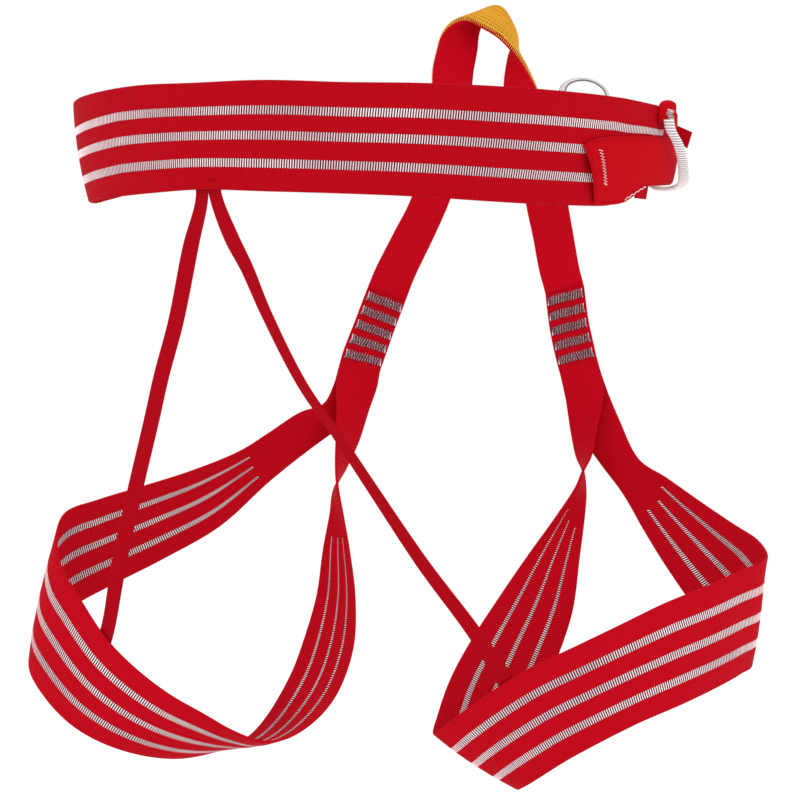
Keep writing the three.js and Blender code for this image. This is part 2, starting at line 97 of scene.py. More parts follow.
def smooth_curve(points, stations):
    """Centripetal Catmull-Rom curve through points, read at fractional station numbers."""
    knots = np.asarray(points, float)
    ends = (2 * knots[0] - knots[1], 2 * knots[-1] - knots[-2])
    padded = np.vstack([ends[0], knots, ends[1]])
    where = np.clip(np.asarray(stations, float), 0, len(knots) - 1)
    first = np.minimum(where.astype(int), len(knots) - 2)
    w = (where - first)[..., None]
    p0, p1, p2, p3 = (padded[first + k] for k in range(4))

    def spacing(a, b):
        return np.maximum(np.sum((a - b) ** 2, -1, keepdims=True), 1e-9) ** 0.25

    d0, d1, d2 = spacing(p0, p1), spacing(p1, p2), spacing(p2, p3)
    m1 = ((p1 - p0) / d0 - (p2 - p0) / (d0 + d1) + (p2 - p1) / d1) * d1
    m2 = ((p2 - p1) / d1 - (p3 - p1) / (d1 + d2) + (p3 - p2) / d2) * d1
    c2 = -3 * p1 + 3 * p2 - 2 * m1 - m2
    c3 = 2 * p1 - 2 * p2 + m1 + m2
    return p1 + m1 * w + c2 * w**2 + c3 * w**3


def unit(vectors):
    return vectors / np.maximum(np.linalg.norm(vectors, axis=-1, keepdims=True), 1e-9)


def strip(stations, side=1, crown=None):
    """Surface through pairs of edge points, (upper, lower): a function of station, v and lift."""
    upper = [pair[0] for pair in stations]
    lower = [pair[1] for pair in stations]
    last = len(stations) - 1

    def at(t, v, lift):
        t, v, lift = np.broadcast_arrays(*(np.asarray(x, float) for x in (t, v, lift)))

        def on(where):
            low = smooth_curve(lower, where)
            return low + (smooth_curve(upper, where) - low) * ((v + 1) / 2)[..., None]

        along = on(np.minimum(t + TANGENT_STEP, last)) - on(np.maximum(t - TANGENT_STEP, 0))
        across = smooth_curve(upper, t) - smooth_curve(lower, t)
        normal = unit(np.cross(along, across)) * side
        height = lift if crown is None else lift + crown(t) * (1 - v**2)
        return on(t) + normal * height[..., None]

    return at


def on_waist(angle, height, lift):
    """Point on the waist ring at an angle from the centre back and a height, lifted outward."""
    angle, height, lift = np.broadcast_arrays(
        *(np.asarray(x, float) for x in (angle, height, lift)))
    s, c = np.sin(np.radians(angle)), np.cos(np.radians(angle))
    cone = CONE_INSET + LEFT_CONE_INSET * ((1 - s) / 2) ** 8
    inset = cone * (WAIST_TOP - height) / (2 * WAIST_TOP)
    bulge = WAIST_CROWN * (1 - (height / WAIST_TOP) ** 2)
    a, b = WAIST_A - inset, WAIST_B - inset
    outward = unit(np.stack([s / a, -c / b, np.zeros_like(s)], -1))
    return np.stack([a * s, -b * c, height], -1) + outward * (bulge + lift)[..., None]


def belt_height(angle, column):
    """Smooth curve through one column of the belt's outline."""
    rows = np.array(BELT_EDGES, float)
    angle = np.asarray(angle, float)
    first = np.clip(np.searchsorted(rows[:, 0], angle, "right") - 1, 0, len(rows) - 2)
    slopes = np.empty(len(rows))
    for k in range(len(rows)):
        a, b = rows[max(k - 1, 0)], rows[min(k + 1, len(rows) - 1)]
        slopes[k] = (b[column] - a[column]) / (b[0] - a[0])
    start, end = rows[first], rows[first + 1]
    span = end[..., 0] - start[..., 0]
    u = (angle - start[..., 0]) / span
    bend = (u**3 - 2 * u**2 + u) * span * slopes[first] + (u**3 - u**2) * span * slopes[first + 1]
    ease = 3 * u**2 - 2 * u**3
    return start[..., column] + ease * (end[..., column] - start[..., column]) + bend


def on_belt(angle, v, lift):
    """The belt's face, with v from -1 on its lower edge to +1 on its upper edge."""
    top, bottom = belt_height(angle, 1), belt_height(angle, 2)
    return on_waist(angle, bottom + (top - bottom) * (np.asarray(v, float) + 1) / 2, lift)


# ------------------------------------------------------------------ meshes
def make_mesh(name, points, faces, material, uv=None, smooth=True):
    mesh = bpy.data.meshes.new(name)
    mesh.from_pydata((np.asarray(points).reshape(-1, 3) * MM).tolist(), [], faces)
    if uv is not None:
        layer = mesh.uv_layers.new(name="UVMap")
        corner = np.empty(len(mesh.loops), int)
        mesh.loops.foreach_get("vertex_index", corner)
        layer.data.foreach_set("uv", np.asarray(uv, float).reshape(-1, 2)[corner].ravel())
    mesh.polygons.foreach_set("use_smooth", [smooth] * len(mesh.polygons))
    mesh.materials.append(material)
    obj = bpy.data.objects.new(name, mesh)
    bpy.context.collection.objects.link(obj)
    return obj


def grid_faces(rows, columns, wrap, first=0):
    """Quads over a grid of points, closed round the columns if wrap is true."""
    faces = []
    for i in range(rows - 1):
        for j in range(columns if wrap else columns - 1):
            k = (j + 1) % columns
            a, b = first + i * columns + j, first + i * columns + k
            faces.append((a, b, b + columns, a + columns))
    return faces


def arc_length(at, t):
    """Distance travelled along a strip's middle line, at each station in t."""
    middle = at(t, 0 * t, 0 * t)
    return np.concatenate([[0], np.cumsum(np.linalg.norm(np.diff(middle, axis=0), axis=1))])


def webbing_section(half, width, lanes=10):
    """Closed outline (v, lift) of woven tape with rounded edges, for a tape of that width."""
    inner = 1 - 2 * half / width
    top = [(v, half) for v in np.linspace(-inner, inner, lanes + 1)]
    turn = [(inner + (1 - inner) * math.sin(a), half * math.cos(a))
            for a in np.radians([30, 60, 90, 120, 150])]
    return top + turn + [(-v, -lift) for v, lift in top] + [(-v, -lift) for v, lift in turn]


def sweep(name, at, t, section, material, width=20.0):
    """Solid swept along t on a surface, with a closed (v, lift) outline or one per station."""
    t = np.asarray(t, float)
    outline = np.asarray(section, float)
    if outline.ndim == 2:
        outline = np.broadcast_to(outline, (len(t),) + outline.shape)
    count = outline.shape[1]
    points = at(t[:, None], outline[..., 0], outline[..., 1])
    length = arc_length(at, t)
    uv = np.stack([np.broadcast_to(length[:, None], points.shape[:2]),
                   outline[..., 0] * width / 2], -1)
    faces = grid_faces(len(t), count, True)
    faces.append(tuple(range(count - 1, -1, -1)))
    faces.append(tuple(range((len(t) - 1) * count, len(t) * count)))
    obj = make_mesh(name, points, faces, material, uv)
    turn_outward(obj)
    return obj


def turn_outward(obj):
    """Turns the faces round if the closed mesh is inside out."""
    mesh = obj.data
    mesh.calc_loop_triangles()
    place = np.array([v.co for v in mesh.vertices])
    corner = np.array([tri.vertices for tri in mesh.loop_triangles])
    a, b, c = place[corner[:, 0]], place[corner[:, 1]], place[corner[:, 2]]
    if np.sum(a * np.cross(b, c)) < 0:
        mesh.flip_normals()


def threads(name, paths, radius, material, sides=5):
    """Thin round threads along polylines, as one mesh."""
    points, faces = [], []
    for path in paths:
        path = np.asarray(path, float)
        along = unit(np.gradient(path, axis=0))
        helper = np.where(np.abs(along[:, 2:3]) > 0.9, [[1.0, 0, 0]], [[0, 0, 1.0]])
        across = unit(np.cross(along, helper))
        other = np.cross(along, across)
        angle = np.linspace(0, 2 * np.pi, sides, endpoint=False)
        ring = (across[:, None] * np.cos(angle)[None, :, None]
                + other[:, None] * np.sin(angle)[None, :, None])
        first = sum(len(p) for p in points)
        points.append((path[:, None] + ring * radius).reshape(-1, 3))
        faces += grid_faces(len(path), sides, True, first)
        faces.append(tuple(range(first + sides - 1, first - 1, -1)))
        last = first + (len(path) - 1) * sides
        faces.append(tuple(range(last, last + sides)))
    return make_mesh(name, np.vstack(points), faces, material)


def ladder(name, at, t_range, v_centre, base, face, materials, half_v):
    """A ladder stripe woven into one face: a dark ground with light rungs across it.

    half_v(t) is half the stripe's width, as a share of half the tape's width.
    """
    t = np.linspace(*t_range, 2000)
    length = arc_length(at, t)
    steps = int(length[-1] / 4)
    ground_t = np.interp(np.linspace(0, length[-1], steps), length, t)
    side = np.array([-1, -1, 1, 1])
    ground = np.empty((steps, 4, 2))
    ground[..., 0] = v_centre + side * half_v(ground_t)[:, None]
    ground[..., 1] = face * (base + np.array([-0.15, 0.04, 0.04, -0.15]))
    floor = sweep(name + "_ground", at, ground_t, ground, materials[0])

    count = int(length[-1] / RUNG_PITCH)
    middle = (np.arange(count) + 0.5) * RUNG_PITCH
    offset = np.array(RUNG_OFFSETS)
    reach = np.array(RUNG_REACH)
    rise = np.array([0.0, 1.0, 1.0, 0.0])
    where = np.interp(middle[:, None, None] + offset[:, None] + RUNG_SLANT * reach, length, t)
    width = half_v(np.interp(middle, length, t))
    v = v_centre + width[:, None, None] * reach
    lift = face * (base + RUNG_FOOT + RUNG_RISE * rise[:, None] * rise[None, :])
    points = at(where, v, lift[None])
    faces = []
    for k in range(count):
        faces += grid_faces(4, 4, False, 16 * k)
    rungs = make_mesh(name + "_rungs", points, faces, materials[1])
    return [floor, rungs]


def zigzag(at, start, end, v_range, pitch_v, lift, wobble=0.0):
    """Bartack thread: back and forth between start and end while it steps across v_range."""
    count = int(abs(v_range[1] - v_range[0]) / pitch_v)
    v = np.linspace(v_range[0], v_range[1], count)
    odd = np.arange(count) % 2
    ragged = wobble * np.sin(np.arange(count) * 12.9898)
    distance = np.where(odd, start, end) + ragged
    return at(distance, v, lift + 0 * v)


# ------------------------------------------------------------------ materials
def linear(red, green, blue):
    """Linear RGBA from 0 to 255 display values."""
    def channel(value):
        value /= 255
        return value / 12.92 if value <= 0.04045 else ((value + 0.055) / 1.055) ** 2.4

    return (channel(red), channel(green), channel(blue), 1)


def plain(name, color, roughness=0.8, metallic=0.0, specular=0.08):
    material = bpy.data.materials.new(name)
    material.use_nodes = True
    shader = material.node_tree.nodes["Principled BSDF"]
    shader.inputs["Base Color"].default_value = color
    shader.inputs["Roughness"].default_value = roughness
    shader.inputs["Metallic"].default_value = metallic
    if not metallic:
        shader.inputs["Specular IOR Level"].default_value = specular
    return material


def woven(name, color, hollow_shade, pitch, cross=0.0, roughness=0.82, depth=0.12, coords="UV"):
    """Ribbed cloth: ribs run across the tape, one every pitch millimetres along it. The second
    colour is painted shade in the hollows between the ribs.
    """
    material = plain(name, color, roughness, specular=0.05)
    nodes, links = material.node_tree.nodes, material.node_tree.links
    shader = nodes["Principled BSDF"]
    place = nodes.new("ShaderNodeTexCoord")
    split = nodes.new("ShaderNodeSeparateXYZ")
    links.new(place.outputs[coords], split.inputs[0])
    scale = 1.0 if coords == "UV" else 1000.0

    def wave(axis, period):
        angle = nodes.new("ShaderNodeMath")
        angle.operation = "MULTIPLY"
        angle.inputs[1].default_value = scale * 2 * math.pi / period
        links.new(split.outputs[axis], angle.inputs[0])
        sine = nodes.new("ShaderNodeMath")
        sine.operation = "SINE"
        links.new(angle.outputs[0], sine.inputs[0])
        return sine.outputs[0]

    height = wave(0, pitch)
    if cross:
        product = nodes.new("ShaderNodeMath")
        product.operation = "MULTIPLY"
        links.new(height, product.inputs[0])
        links.new(wave(1, cross), product.inputs[1])
        height = product.outputs[0]
    level = nodes.new("ShaderNodeMapRange")
    level.inputs["From Min"].default_value = -1
    links.new(height, level.inputs["Value"])
    # painted shade: the hollows of the ribs take the darker second colour
    mix = nodes.new("ShaderNodeMix")
    mix.data_type = "RGBA"
    mix.inputs["A"].default_value = hollow_shade
    mix.inputs["B"].default_value = color
    links.new(level.outputs[0], mix.inputs["Factor"])
    links.new(mix.outputs["Result"], shader.inputs["Base Color"])
    bump = nodes.new("ShaderNodeBump")
    bump.inputs["Distance"].default_value = depth * MM
    bump.inputs["Strength"].default_value = 0.8
    links.new(level.outputs[0], bump.inputs["Height"])
    links.new(bump.outputs[0], shader.inputs["Normal"])
    return material


def varied(name, dark, light, size, roughness=0.75):
    """Thread whose shade drifts slowly over patches of about size metres."""
    material = plain(name, light, roughness)
    nodes, links = material.node_tree.nodes, material.node_tree.links
    place = nodes.new("ShaderNodeTexCoord")
    noise = nodes.new("ShaderNodeTexNoise")
    noise.inputs["Scale"].default_value = 1 / size
    noise.inputs["Detail"].default_value = 3
    links.new(place.outputs["Object"], noise.inputs["Vector"])
    level = nodes.new("ShaderNodeMapRange")
    level.inputs["From Min"].default_value = 0.35
    level.inputs["From Max"].default_value = 0.6
    links.new(noise.outputs[0], level.inputs["Value"])
    mix = nodes.new("ShaderNodeMix")
    mix.data_type = "RGBA"
    mix.inputs["A"].default_value = dark
    mix.inputs["B"].default_value = light
    links.new(level.outputs[0], mix.inputs["Factor"])
    links.new(mix.outputs["Result"], nodes["Principled BSDF"].inputs["Base Color"])
    return material


RED = linear(179, 2, 20)
# painted shade for the hollows between the belt's ribs
RED_RIB_HOLLOW_SHADE = linear(156, 2, 17)
# each woven material: cloth colour, then a darker colour that is painted shade for its rib hollows
red_belt = woven("red_belt_weave", RED, RED_RIB_HOLLOW_SHADE, 1.25)
red_band = woven("red_band_weave", linear(188, 3, 24), linear(164, 2, 20), 1.1)
red_strap = woven("red_strap_weave", linear(196, 3, 26), linear(172, 3, 22), 1.3, cross=1.6)
red_elastic = woven("red_elastic_weave", linear(180, 3, 22), linear(136, 2, 16), 0.9)
red_flap = woven("red_flap_cloth", linear(182, 2, 18), linear(174, 2, 17), 0.5, cross=0.5,
                 depth=0.04)
red_cad = woven("red_cad_weave", RED, RED_RIB_HOLLOW_SHADE, 1.2, coords="Object")
red_thread = plain("red_thread", linear(140, 3, 18), 0.8)
dark_thread = plain("dark_red_thread", linear(142, 3, 18), 0.8)
stripe_ground = plain("stripe_ground", linear(60, 12, 20), 0.9)
stripe_rung = varied("stripe_rung", linear(222, 186, 192), linear(252, 224, 227), 0.06)
stripe_materials = (stripe_ground, stripe_rung)
grey_thread = varied("grey_thread", linear(226, 216, 224), linear(254, 250, 252), 0.004)
# the leg bartacks' lower zigzag layer: the same thread as the top strokes, drawn darker as painted
# shade in the gaps between them
bartack_gap_shade = plain("bartack_gap_shade", linear(166, 138, 154), 0.8)
pale_thread = plain("pale_thread", linear(246, 222, 224), 0.7)
yellow_cloth = woven("yellow_lining", linear(236, 178, 56), linear(178, 116, 24), 0.9, cross=0.9,
                     depth=0.1)
yellow_thread = plain("yellow_thread", linear(240, 194, 84), 0.7)
brown_thread = plain("lining_stitch", linear(84, 52, 16), 0.8)
white_cord = woven("white_cord", linear(250, 244, 245), linear(158, 146, 150), CORD_RIB_PITCH,
                   depth=0.1)
pale_tape = woven("pale_tape", linear(226, 218, 219), linear(200, 190, 192), 0.9, depth=0.04)
# the front gear loop's folded edges: painted shade where the flattened tube turns round
fold_shade_grey = plain("front_loop_fold_shade", linear(124, 116, 118), 0.7)
aluminium = plain("brushed_aluminium", linear(196, 198, 202), 0.32, metallic=1.0)


def finish_piece(obj, body, replaced=()):
    """Hides the CAD nodes the piece stands for, and lets it ride on its body unless body is None.
    """
    if replaced:
        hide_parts(*replaced)
    if body:
        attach(obj, body)
    return obj


# ------------------------------------------------------------------ waist belt
belt_t = np.linspace(BELT_EDGES[0][0], BELT_EDGES[-1][0], 286)
belt = sweep("waist_belt_cloth", on_belt, belt_t, webbing_section(BELT_HALF, BELT_WIDTH, 14),
             red_belt, BELT_WIDTH)
finish_piece(belt, "belt", ["waist_belt"])


def on_striped_belt(angle, v, lift):
    """The belt, with its stripes drooping round the wearer's left hip and at the rear tab."""
    angle = np.asarray(angle, float)
    droop = 0.07 * np.clip((-55 - angle) / 20, 0, 1) + 0.13 * np.clip((angle - 50) / 14, 0, 1)
    return on_belt(angle, v - droop, lift)


for label, v_centre, last_angle in (("top", 0.455, 69), ("middle", 0.0, 60), ("bottom", -0.5, 58)):
    stripe = ladder(f"belt_stripe_{label}", on_striped_belt, (-146, last_angle), v_centre,
                    BELT_HALF, 1, stripe_materials, lambda t: BELT_STRIPE_SHARE + 0 * t)
    for piece in stripe:
        finish_piece(piece, "belt")

# small stitching on the belt's face, above where the two risers leave it
RISER_SEAM_ANGLE = -31.3


def on_back(distance, height, lift):
    angle = RISER_SEAM_ANGLE + np.asarray(distance, float) / RING_MM_PER_DEGREE
    return on_waist(angle, height, lift)


tack_path = zigzag(on_back, -2.2, 2.2, (-18.4, -16.6), 0.3, BELT_HALF + 0.02, 0.2)
finish_piece(threads("riser_seam", [tack_path], 0.13, dark_thread), "belt")

# ------------------------------------------------------------------ sleeve and tabs
SLEEVE_FROM, SLEEVE_TO = 43.3, 80.0
SLEEVE_SLANT = 2.4  # how far the mouth's edge leans, in degrees of the ring
SLEEVE_HEM = 0.6
SLEEVE_HALF = 0.45  # half the sleeve's thickness
SLEEVE_TACK_ANGLE = 46.4


def on_sleeve(angle, v, lift):
    """v is +1 on the sleeve's top edge. It stands off the belt, most of all at its mouth."""
    angle, v, lift = np.broadcast_arrays(*(np.asarray(x, float) for x in (angle, v, lift)))
    mouth = (SLEEVE_TO - angle) / (SLEEVE_TO - SLEEVE_FROM)
    puff = (0.7 + 2.4 * mouth**6 * (0.7 + 0.3 * v)) * (1 - v**2)
    bottom = belt_height(angle, 2) + SLEEVE_HEM
    top = 3.4 + 0.13 * (angle - 49) - 4 * np.exp((SLEEVE_FROM - angle) / 3)
    height = bottom + (top - bottom) * (v + 1) / 2
    stand = BELT_HALF + GAP + SLEEVE_HALF + puff + lift
    return on_waist(angle - SLEEVE_SLANT * v * mouth, height, stand)


sleeve_t = np.concatenate([np.linspace(SLEEVE_FROM, 45, 8), np.linspace(45.5, SLEEVE_TO, 92)])
sleeve = sweep("clipper_sleeve_cloth", on_sleeve, sleeve_t, webbing_section(SLEEVE_HALF, 30, 18),
               red_flap, 30)
finish_piece(sleeve, "belt", ["clipper_sleeve"])
hem_v = np.linspace(-0.95, 0.95, 80)
hem = [on_sleeve(SLEEVE_FROM + 0.6 + 0 * hem_v, hem_v, 0.5)]
finish_piece(threads("sleeve_hem_thread", hem, 0.12, red_thread), "belt")
seam_paths = []
for v_seam in (0.93, -0.93):
    seam_t = np.linspace(45, SLEEVE_TO - 0.6, 240)
    seam_paths.append(on_sleeve(seam_t, v_seam, 0.46 + 0.08 * np.sin(seam_t * 9)))
finish_piece(threads("sleeve_seam_thread", seam_paths, 0.13, red_thread), "belt")


def on_sleeve_stitch(distance, v, lift):
    return on_sleeve(SLEEVE_TACK_ANGLE + np.asarray(distance, float) / 2.3, v, lift)


stitch_path = zigzag(on_sleeve_stitch, -0.95, 0.95, (-0.4, 0.66), 0.044, 0.62, 0.08)
finish_piece(threads("sleeve_bartack_thread", [stitch_path], 0.27, pale_thread), "belt",
             ["sleeve_bartack"])


def rounded_outline(v_low, v_high, lift_low, lift_high, radius_v, radius_lift, steps=4):
    """Closed (v, lift) rectangle with rounded corners."""
    outline = []
    corners = [(v_high, lift_high, 1, 1, 90, 0), (v_high, lift_low, 1, -1, 0, -90),
               (v_low, lift_low, -1, -1, -90, -180), (v_low, lift_high, -1, 1, 180, 90)]
    for v, lift, sign_v, sign_lift, start, end in corners:
        for angle in np.radians(np.linspace(start, end, steps)):
            outline.append((v - sign_v * radius_v + radius_v * math.cos(angle),
                            lift - sign_lift * radius_lift + radius_lift * math.sin(angle)))
    return outline


def tab_profile(u, ramp):
    """A tab's height off the belt at a share u of its width, lower at its rear as ramp grows."""
    return (0.35 + 0.65 * (1 - (2 * u - 1) ** 6)) * (1 - 0.75 * ramp * (1 - u) ** 1.5)


def folded_tab(name, angles, heights, lifts, dome, node, ramp=0.0):
    """A folded cloth tab on the ring, with a rounded top and rounded sides."""
    t = np.linspace(*angles, 21)
    sections = []
    for u in np.linspace(0, 1, 21):
        round_off = (1 - (2 * u - 1) ** 6)
        top = heights[0] + (heights[1] - heights[0]) * (0.55 + 0.45 * round_off ** 0.5)
        top += dome * math.sin(math.pi * u)
        high = lifts[0] + (lifts[1] - lifts[0]) * tab_profile(u, ramp)
        sections.append(rounded_outline(heights[0], top, lifts[0], high, 1.4,
                                        (high - lifts[0]) * 0.42))
    obj = sweep(name, on_waist, t, np.array(sections), red_flap, 2)
    return finish_piece(obj, "belt", [node])


REAR_TAB = {"angles": (65.0, 70.3), "lifts": (1.35, 7.1), "ramp": 0.6}
folded_tab("rear_tab_cloth", REAR_TAB["angles"], (11.2, 21.0), REAR_TAB["lifts"], 1.4,
           "side_loop_tab_rear", REAR_TAB["ramp"])
folded_tab("front_tab_cloth", (111, 119), (3.6, 15.5), (1.35, 6), 0.6, "side_loop_tab_front")


def on_rear_tab(angle, height, lift):
    """The outer face of the rear tab."""
    (first, last), (low, high) = REAR_TAB["angles"], REAR_TAB["lifts"]
    stand = low + (high - low) * tab_profile((angle - first) / (last - first), REAR_TAB["ramp"])
    return on_waist(angle, height, stand + lift)


tab_path = zigzag(on_rear_tab, 65.9, 67.9, (13.4, 17.8), 0.22, 0.2, 0.2)
finish_piece(threads("rear_tab_bartack_thread", [tab_path], 0.3, pale_thread), "belt",
             ["rear_tab_bartack"])

# wavy stitching along the sleeve's rising lower edge
corner_count = 11
corner_angle = np.linspace(54.6, 61.8, corner_count)
corner_height = belt_height(corner_angle, 2) + np.where(np.arange(corner_count) % 2, 0.9, 0.2)
corner_path = on_waist(corner_angle, corner_height, BELT_HALF + GAP + 1.25 + 0 * corner_angle)
finish_piece(threads("belt_corner_stitches", [corner_path], 0.2, pale_thread), "belt")


# ------------------------------------------------------------------ front webbing
def waist_webbing(name, path, node):
    """Tape round the ring along a path of (angle, lift)."""
    stations = [(on_waist(a, WEB_HIGH, lift), on_waist(a, WEB_LOW, lift)) for a, lift in path]
    t = np.linspace(0, len(path) - 1, 6 * len(path))
    obj = sweep(name, strip(stations), t, webbing_section(STRAP_HALF, STRAP_WIDTH, 6), red_strap,
                STRAP_WIDTH)
    return finish_piece(obj, "belt", [node])


back_lift = 2 * BUCKLE_LIFT - WEB_LIFT
web_path = [(120 + 5 * k, WEB_LIFT) for k in range(16)]
web_path += [(198.2, WEB_LIFT), (199.3, WEB_LIFT + 1), (199.6, BUCKLE_LIFT)]
web_path += [(199.3, back_lift - 1), (198.2, back_lift), (195, back_lift + 0.2)]
web_path += [(191.5, back_lift + 0.5), (188.5, 7), (185, 5), (180, 4.45), (175, 4.4)]
waist_webbing("front_webbing_cloth", web_path, "front_webbing")
anchor_path = [(217.5, WEB_LIFT), (215, WEB_LIFT), (212.5, WEB_LIFT), (210, WEB_LIFT)]
anchor_path += [(207, WEB_LIFT), (204.5, WEB_LIFT), (202.4, WEB_LIFT), (201.2, WEB_LIFT + 0.9)]
anchor_path += [(200.9, BUCKLE_LIFT), (201.2, back_lift - 0.6), (202.3, back_lift + 0.4)]
anchor_path += [(204, back_lift + 0.5), (206.5, 7), (209, 4.9), (212.5, 4.3), (215, 4.25)]
waist_webbing("buckle_anchor_cloth", anchor_path, "buckle_anchor_loop")


def ring_bartack(name, angles, heights, lift, node):
    """Zigzag between two angles while it climbs from the lower to the upper height."""
    path = zigzag(on_waist, angles[0], angles[1], heights, 0.5, lift, 0.03)
    obj = threads(name, [path], 0.26, grey_thread)
    return finish_piece(obj, "belt", [node])


ring_bartack("webbing_bartack_thread", (123.4, 125.1), (-2, 16), 3.4, "webbing_bartack")
ring_bartack("anchor_bartack_thread", (212.4, 214.1), (-2, 16), 5.2, "anchor_bartack")
for node_name, material in (("buckle_frame", aluminium), ("buckle_slider", aluminium),
                            ("webbing_keeper", red_cad), ("belt_end_tab", red_cad),
                            ("sleeve_corner_tab", red_cad)):
    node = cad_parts[node_name]
    node.data.materials.clear()
    node.data.materials.append(material)
    bevel = node.modifiers.new("soft_edges", "BEVEL")
    bevel.width = 0.0004
    bevel.segments = 3
    bevel.limit_method = "ANGLE"

# ------------------------------------------------------------------ tie-in loop
TIE_IN = [
    ((28, 107, 19.4), (48, 103, 19.4)), ((28, 107, 41), (48, 106, 41)),
    ((28, 106, 53), (49, 108, 53)), ((30, 105, 63), (51, 110, 64)),
    ((33, 103, 71), (52, 112, 73)), ((38, 101, 76), (55, 114, 81)),
    ((45, 99, 78), (59, 115, 86)), ((53, 96, 74), (63, 114, 86)),
    ((61, 94, 69), (67, 112, 80)), ((68, 92, 62), (70, 110, 70)),
    ((73, 91, 55), (67, 106, 61)), ((77, 90, 48), (65, 102, 53)),
    ((80, 89, 42), (64, 99, 45)), ((83, 88, 30), (64, 97, 30)),
    ((84, 87.5, 19.4), (64, 97, 19.4)),
]
FOOT_LIFT = 4.6  # how far the tie-in loop's sewn feet stand off the ring
TIE_IN_HALF = 1.25
TIE_IN_WIDTH = 21
left_foot = [(on_waist(168.6, z, FOOT_LIFT), on_waist(160, z, FOOT_LIFT)) for z in (-2, 6, 13)]
right_foot = [(on_waist(143, z, FOOT_LIFT), on_waist(152.8, z, FOOT_LIFT)) for z in (13, 6, -2)]
on_tie_in = strip(left_foot + TIE_IN + right_foot, -1)
tie_t = np.linspace(0, len(TIE_IN) + 5, 260)
tie_in = sweep("tie_in_webbing", on_tie_in, tie_t,
               webbing_section(TIE_IN_HALF, TIE_IN_WIDTH, 10), red_strap, TIE_IN_WIDTH)
finish_piece(tie_in, None, ["tie_in_loop", "tie_in_foot_left", "tie_in_foot_right"])
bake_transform(tie_in)

# quilted rows along the lining, with a line of dashes in each valley and whips over one edge
QUILT_ROWS = 8
lining_t = np.linspace(3.5, 16.5, 300)
lining_section = [(v, 1.75 + 0.55 * abs(math.sin(math.pi * QUILT_ROWS / 2 * v)) ** 0.6 * (1 - v**8))
                  for v in np.linspace(-0.95, 0.95, 40)]
lining_section += [(0.95, 1.3), (-0.95, 1.3)]
lining = sweep("tie_in_lining_cloth", on_tie_in, lining_t, lining_section, yellow_cloth,
               TIE_IN_WIDTH)
finish_piece(lining, "tie_in", ["tie_in_lining"])
dashes = []
for v_row in np.arange(1, QUILT_ROWS) * 2 / QUILT_ROWS - 1:
    for start in np.arange(4, 16, 0.24):
        ends = np.linspace(start, start + 0.17, 4)
        dashes.append(on_tie_in(ends, v_row, 1.86 + 0 * ends))
finish_piece(threads("lining_stitches", dashes, 0.2, brown_thread), "tie_in")
whips = []
v_turn = np.array([0.86, 0.93, 0.985, 1.02, 1.03])
lifts = np.array([2.1, 2.05, 1.75, 1.1, 0.1])
for start in np.arange(3.8, 16.4, 0.115):
    whips.append(on_tie_in(start + 0.05 * np.arange(5) / 4, v_turn, lifts))
finish_piece(threads("lining_whip_stitches", whips, 0.2, yellow_thread), "tie_in")
for side_name, angles in (("left", (160.8, 167.8)), ("right", (143.8, 152.0))):
    count = 20
    angle = np.linspace(angles[0], angles[1], count)
    paths = []
    for low in (0.5, 8.0):
        height = np.where(np.arange(count) % 2, low, low + 3.6)
        paths.append(on_waist(angle, height, FOOT_LIFT + 1.45 + 0 * angle))
    obj = threads(f"tie_in_bartack_thread_{side_name}", paths, 0.28, grey_thread)
    finish_piece(obj, "belt", [f"tie_in_bartack_{side_name}"])

# ------------------------------------------------------------------ gear loops
SIDE_LOOP = [
    (133.2, -47.2, 13), (134.2, -46, 8.6), (137.6, -43, 3), (140.1, -37.5, -3),
    (141.6, -29.5, -8), (142.9, -18, -11.4), (143.5, -5, -12.9), (142.3, 9, -13.4),
    (138.2, 24, -13), (134.7, 36, -11), (131.2, 43, -5.5), (129.8, 46, 1), (129.6, 46.4, 6),
]
SIDE_TAPE_HALF = 2.4
side_pairs = [((x - SIDE_TAPE_HALF, y, z), (x + SIDE_TAPE_HALF, y, z)) for x, y, z in SIDE_LOOP]
on_side_loop = strip(side_pairs, -1)


def ribbed_sections(at, t, half, ridge, pitch, sides=24):
    """Rounded outlines of a tape with a ridge across it every pitch millimetres."""
    around = np.linspace(0, 2 * np.pi, sides, endpoint=False)
    swell = 1 + ridge * np.sin(2 * np.pi * arc_length(at, t) / pitch)
    sections = np.empty((len(t), sides, 2))
    sections[..., 0] = np.sign(np.cos(around)) * np.abs(np.cos(around)) ** 0.7
    sections[..., 1] = half * swell[:, None] * np.sin(around)
    return sections


side_t = np.linspace(0, len(SIDE_LOOP) - 1, 1200)
side_sections = ribbed_sections(on_side_loop, side_t, 0.95, 0.16, CORD_RIB_PITCH)
side_loop = sweep("side_gear_loop_cord", on_side_loop, side_t, side_sections, white_cord,
                  2 * SIDE_TAPE_HALF)
finish_piece(side_loop, None, ["side_gear_loop"])
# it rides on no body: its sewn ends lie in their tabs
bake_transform(side_loop)

FRONT_LOOP = [
    ((90, 83, 16.5), (95, 80, 16.5)), ((90, 83, 22), (95, 80, 22)), ((90, 83, 32), (95, 80, 32)),
    ((91, 85, 42), (95, 81, 41)), ((95, 88, 46), (97, 82, 44)), ((101, 88, 47.5), (102, 82, 45.5)),
    ((107, 85, 46.5), (107, 79, 44.5)), ((112, 79, 43), (111, 74, 41.5)),
    ((115, 70, 37), (113, 66, 36.5)), ((116, 67, 28), (113.5, 63.5, 28)),
    ((116, 66, 22), (113.5, 62.5, 22)), ((116, 66, 16.5), (113.5, 62.5, 16.5)),
]
on_front_loop = strip(FRONT_LOOP, -1)
loop_t = np.linspace(0, len(FRONT_LOOP) - 1, 260)
FRONT_TAPE_SHARE = 0.65  # the flat tape's share of the strip's width: the rest is the tube's two folded edges, round threads whose grey is painted shade
front_section = [(FRONT_TAPE_SHARE * v, lift) for v, lift in webbing_section(0.4, 3.8, 6)]
